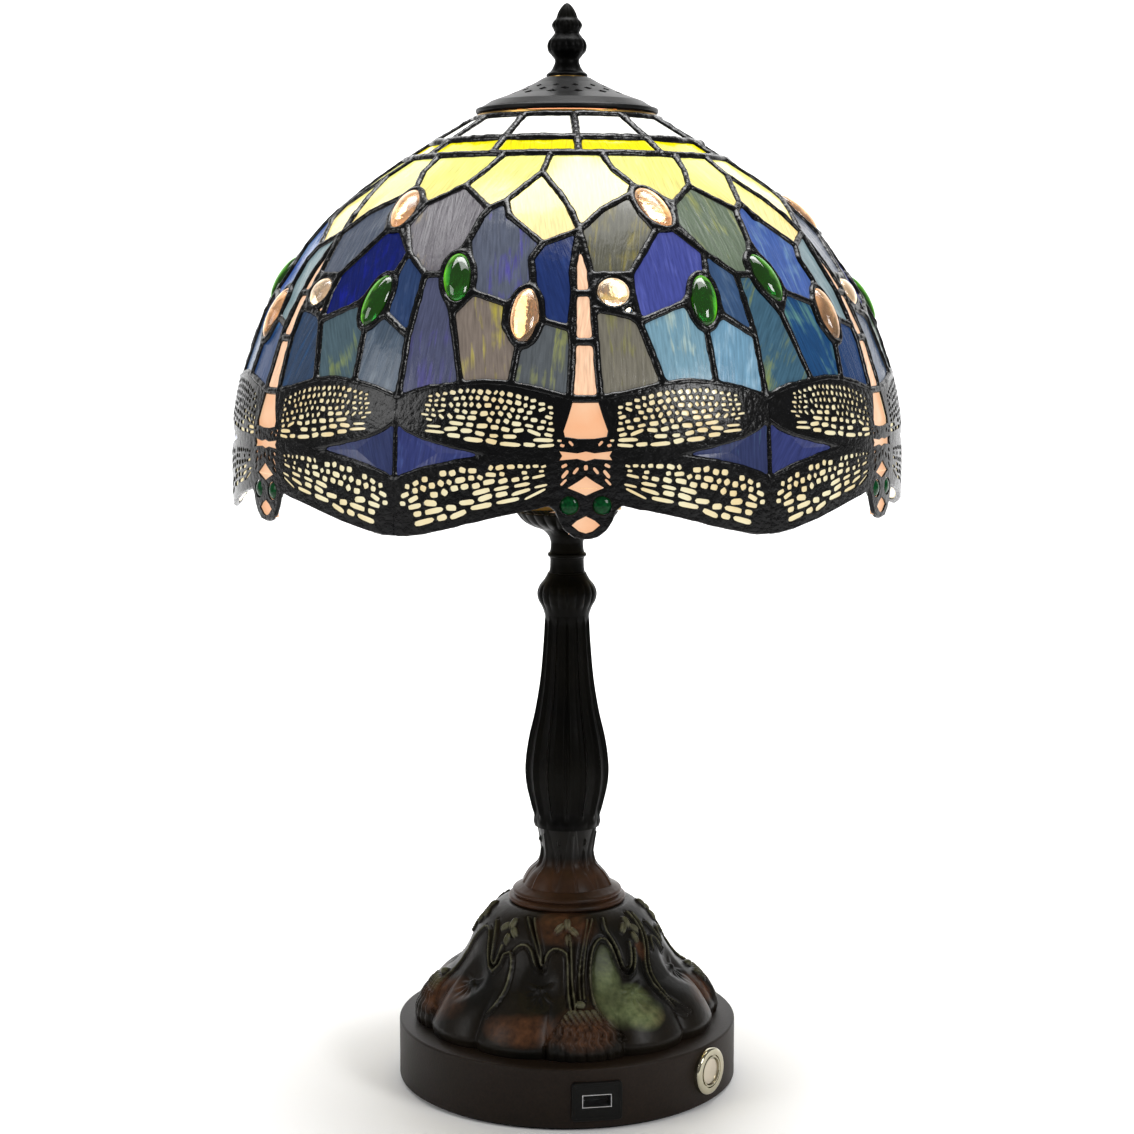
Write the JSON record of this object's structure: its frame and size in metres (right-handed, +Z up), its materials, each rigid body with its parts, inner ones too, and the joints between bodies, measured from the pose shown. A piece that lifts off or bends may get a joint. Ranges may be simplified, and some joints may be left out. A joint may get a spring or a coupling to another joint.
{
  "type": "stained glass table lamp",
  "caption": "Table lamp with a domed leaded-glass dragonfly shade, fluted bronze-finish stem, lobed foot and round powered base with a charging socket and push button.",
  "frame": {"origin": "bottom centre of the round base, on the lamp's axis, at table level", "axes": "+Z up along the stem; -Y to the front, where the charging socket is; +X to the right of someone facing the socket"},
  "size_m": [0.3058, 0.3072, 0.4955],
  "materials": {
    "base_brown": "satin dark brown",
    "bronze": "near-black antique bronze with worn brown edges",
    "black_plastic": "satin black",
    "satin_cap": "satin silver",
    "chrome": "polished",
    "steel": "zinc plated",
    "brass": "satin",
    "aluminium": "satin",
    "ballast_iron": "raw casting",
    "pad_rubber": "matt",
    "board_green": "solder mask",
    "wire_plastic": "satin",
    "filament": "phosphor",
    "bulb_glass": "frosted",
    "glass_cream": "opalescent",
    "glass_amber": "opalescent",
    "glass_petal": "opalescent",
    "glass_blue": "streaky opalescent",
    "glass_slate": "streaky opalescent",
    "glass_violet": "streaky opalescent",
    "glass_moss": "streaky opalescent",
    "glass_coral": "opalescent",
    "glass_wing": "opalescent",
    "jewel_green": "polished cast glass",
    "jewel_amber": "polished cast glass",
    "jewel_clear": "polished cast glass",
    "solder": "black patina over solder"
  },
  "bodies": {
    "root": {"base_housing": "base_brown", "bottom_cover": "base_brown", "cover_screws": "steel", "foot_pad": "pad_rubber", "ballast_weight": "ballast_iron", "cord_inlet": "black_plastic", "usb_bezel": "black_plastic", "usb_shell": "steel", "usb_tongue": "black_plastic", "control_board": "board_green", "board_components": "black_plastic", "button_ring": "chrome", "button_nut": "steel", "button_switch": "black_plastic", "button_spring": "steel", "foot_casting": "bronze", "foot_collar": "bronze", "stem_waist": "bronze", "stem_baluster": "bronze", "stem_knop": "bronze", "stem_neck": "bronze", "socket_cup": "bronze", "threaded_rod": "steel", "rod_nuts": "steel", "rod_washer": "steel", "lamp_wires": "wire_plastic", "harp_saddle": "brass", "harp": "brass", "harp_plate": "brass", "harp_stud": "brass", "holder_cap": "brass", "holder_shell": "brass", "holder_body": "black_plastic", "holder_screw_shell": "aluminium", "holder_contact": "brass"},
    "button": {"button_cap": "satin_cap"},
    "bulb_tip": {"bulb_contact": "steel"},
    "bulb": {"bulb_base": "aluminium", "bulb_glass": "bulb_glass", "bulb_filament": "filament"},
    "cap": {"vent_cap": "bronze"},
    "shade": {"slate_glass": "glass_slate", "blue_glass": "glass_blue", "violet_glass": "glass_violet", "moss_glass": "glass_moss", "petal_glass": "glass_petal", "band_glass": "glass_amber", "crown_glass": "glass_cream", "body_glass": "glass_coral", "wing_glass": "glass_wing", "green_jewels": "jewel_green", "amber_jewels": "jewel_amber", "round_jewels": "jewel_clear", "dragonfly_eyes": "jewel_green", "wing_filigree": "solder", "solder_web": "solder", "shade_top_ring": "brass"},
    "finial_core": {"finial_insert": "brass", "finial_washer": "brass"},
    "finial": {"finial": "bronze"}
  },
  "joints": [
    {"name": "power_button", "type": "slide", "parent": "root", "child": "button", "axis": [-0.808, 0.5892, 0], "range_m": [0, 0.0015], "stiffness_N_per_m": 300, "springref_m": -0.004},
    {"name": "bulb_rise", "type": "slide", "parent": "root", "child": "bulb_tip", "axis": [0, 0, 1], "range_m": [0, 0.0128]},
    {"name": "bulb_turn", "type": "hinge", "parent": "bulb_tip", "child": "bulb", "pos_m": [0, 0, 0.3], "axis": [0, 0, 1], "range_deg": [0, 1260]},
    {"name": "shade_lift", "type": "slide", "parent": "root", "child": "cap", "axis": [0, 0, 1], "range_m": [0, 0.22]},
    {"name": "shade_turn", "type": "hinge", "parent": "cap", "child": "shade", "pos_m": [0, 0, 0.4], "axis": [0, 0, 1], "continuous": true},
    {"name": "finial_rise", "type": "slide", "parent": "cap", "child": "finial_core", "axis": [0, 0, 1], "range_m": [0, 0.0056]},
    {"name": "finial_turn", "type": "hinge", "parent": "finial_core", "child": "finial", "pos_m": [0, 0, 0.47], "axis": [0, 0, 1], "range_deg": [0, 2160]}
  ],
  "couplings": [
    {"joint": "bulb_rise", "follows": "bulb_turn", "m_per_rad": 0.00057757},
    {"joint": "finial_turn", "follows": "finial_rise", "rad_per_m": 6679}
  ]
}
